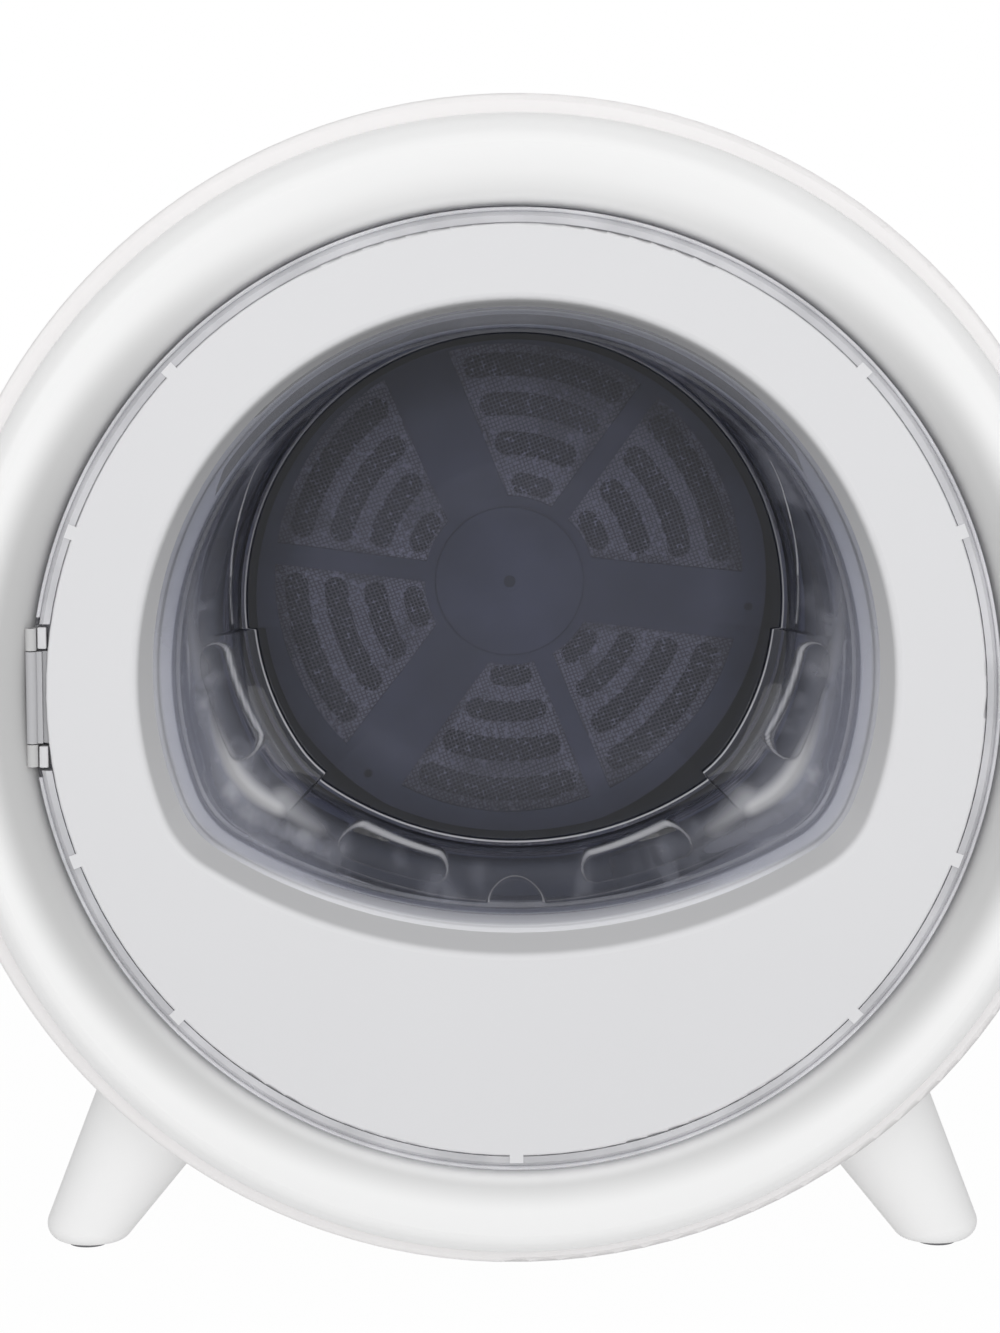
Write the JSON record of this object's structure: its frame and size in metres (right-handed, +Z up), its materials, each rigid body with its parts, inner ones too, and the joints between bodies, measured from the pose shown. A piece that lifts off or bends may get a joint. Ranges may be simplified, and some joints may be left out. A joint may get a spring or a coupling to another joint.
{
  "type": "portable clothes dryer",
  "caption": "Compact tumble dryer: round white barrel on splayed peg legs, a side-hinged disc door with a smoked window bowl, a belt-driven drum and rear air duct.",
  "frame": {"origin": "on the floor under the middle of the casing, at the centre of the foot print", "axes": "+Z up, the door faces -Y, +X to the right as the door is looked at"},
  "size_m": [0.43, 0.33, 0.451],
  "materials": {
    "shell_white": "satin white moulded casing",
    "white_gloss": "polished white plastic",
    "leg_white": "satin white plastic",
    "door_white": "smooth slightly cool white plastic",
    "clear_rim": "clear polished plastic",
    "smoked_lens": "smoked transparent moulding",
    "inner_plastic": "pale grey moulded plastic",
    "felt": "pressed grey felt",
    "grey_rubber": "soft grey rubber",
    "screw_steel": "zinc plated steel",
    "magnet_steel": "nickel plated magnet",
    "hinge_grey": "painted steel knuckle",
    "black_plastic": "fine textured black plastic",
    "contact_brass": "bright contact pins",
    "drum_steel": "brushed stainless sheet",
    "drum_back_grey": "dark blue-grey coated plate",
    "mesh_steel": "fine woven wire mesh",
    "retainer_grey": "blue-grey moulded plastic",
    "lifter_grey": "blue-grey moulded plastic",
    "bearing_bronze": "sintered bronze",
    "duct_metal": "plain sheet metal",
    "heater_fins": "bare aluminium",
    "motor_metal": "dark coated motor case",
    "belt_rubber": "black belt rubber",
    "wheel_plastic": "dark glass-filled plastic",
    "panel_black": "gloss dark panel",
    "display_dark": "dark display window",
    "button_white": "white push buttons",
    "board_green": "green circuit board"
  },
  "bodies": {
    "housing": {"barrel_shell": "shell_white", "front_bezel": "white_gloss", "front_bulkhead": "inner_plastic", "mouth_seal": "felt", "door_gasket": "grey_rubber", "back_cover": "shell_white", "case_screws": "screw_steel", "power_inlet": "black_plastic", "inlet_pins": "contact_brass", "leg_front_left": "leg_white", "leg_front_right": "leg_white", "leg_rear_left": "leg_white", "leg_rear_right": "leg_white", "foot_pads": "grey_rubber", "leg_bolts": "screw_steel", "catch_magnet": "magnet_steel", "door_switch": "black_plastic", "hinge_bracket": "white_gloss", "hinge_pin": "screw_steel", "rear_bulkhead": "inner_plastic", "rear_bearing": "bearing_bronze", "rear_seal": "felt", "air_duct": "duct_metal", "heater": "heater_fins", "thermostat": "black_plastic", "blower_housing": "inner_plastic", "motor_body": "motor_metal", "motor_bracket": "duct_metal", "drive_belt": "belt_rubber", "idler_bracket": "duct_metal", "control_panel": "panel_black", "display_window": "display_dark", "control_board": "board_green", "key_switches": "black_plastic"},
    "door": {"door_panel": "door_white", "door_rim": "clear_rim", "door_lens": "smoked_lens", "door_frame": "inner_plastic", "door_screws": "screw_steel", "catch_plate": "screw_steel", "hinge_arm": "hinge_grey"},
    "drum": {"drum_front": "drum_steel", "drum_shell": "drum_steel", "drum_back": "drum_back_grey", "filter_mesh": "mesh_steel", "filter_retainer": "retainer_grey", "retainer_screws": "screw_steel", "hub_cap": "retainer_grey", "hub_screw": "screw_steel", "lifter_1": "lifter_grey", "lifter_2": "lifter_grey", "lifter_3": "lifter_grey", "drum_shaft": "screw_steel"},
    "rotor": {"motor_shaft": "screw_steel", "motor_pulley": "heater_fins", "blower_wheel": "wheel_plastic"},
    "idler": {"idler_pulley": "wheel_plastic"},
    "button_power": {"button_power": "button_white"},
    "button_mode": {"button_mode": "button_white"},
    "button_start": {"button_start": "button_white"}
  },
  "joints": [
    {"name": "door_hinge", "type": "hinge", "parent": "housing", "child": "door", "pos_m": [-0.174, -0.157, 0.235], "axis": [0, 0, -1], "range_deg": [0, 120]},
    {"name": "drum_spin", "type": "hinge", "parent": "housing", "child": "drum", "pos_m": [0, 0, 0.254], "axis": [0, -1, 0], "continuous": true},
    {"name": "motor_spin", "type": "hinge", "parent": "housing", "child": "rotor", "pos_m": [0, 0, 0.066], "axis": [0, -1, 0], "continuous": true},
    {"name": "idler_spin", "type": "hinge", "parent": "housing", "child": "idler", "pos_m": [-0.06195, 0, 0.08837], "axis": [0, -1, 0], "continuous": true},
    {"name": "power_press", "type": "slide", "parent": "housing", "child": "button_power", "axis": [0.2047, 0, -0.9788], "range_m": [0, 0.001], "stiffness_N_per_m": 400},
    {"name": "mode_press", "type": "slide", "parent": "housing", "child": "button_mode", "axis": [-0.1302, 0, -0.9915], "range_m": [0, 0.001], "stiffness_N_per_m": 400},
    {"name": "start_press", "type": "slide", "parent": "housing", "child": "button_start", "axis": [-0.2186, 0, -0.9758], "range_m": [0, 0.001], "stiffness_N_per_m": 400}
  ],
  "couplings": [
    {"joint": "motor_spin", "follows": "drum_spin", "ratio": 14.806},
    {"joint": "idler_spin", "follows": "drum_spin", "ratio": -11.466}
  ]
}
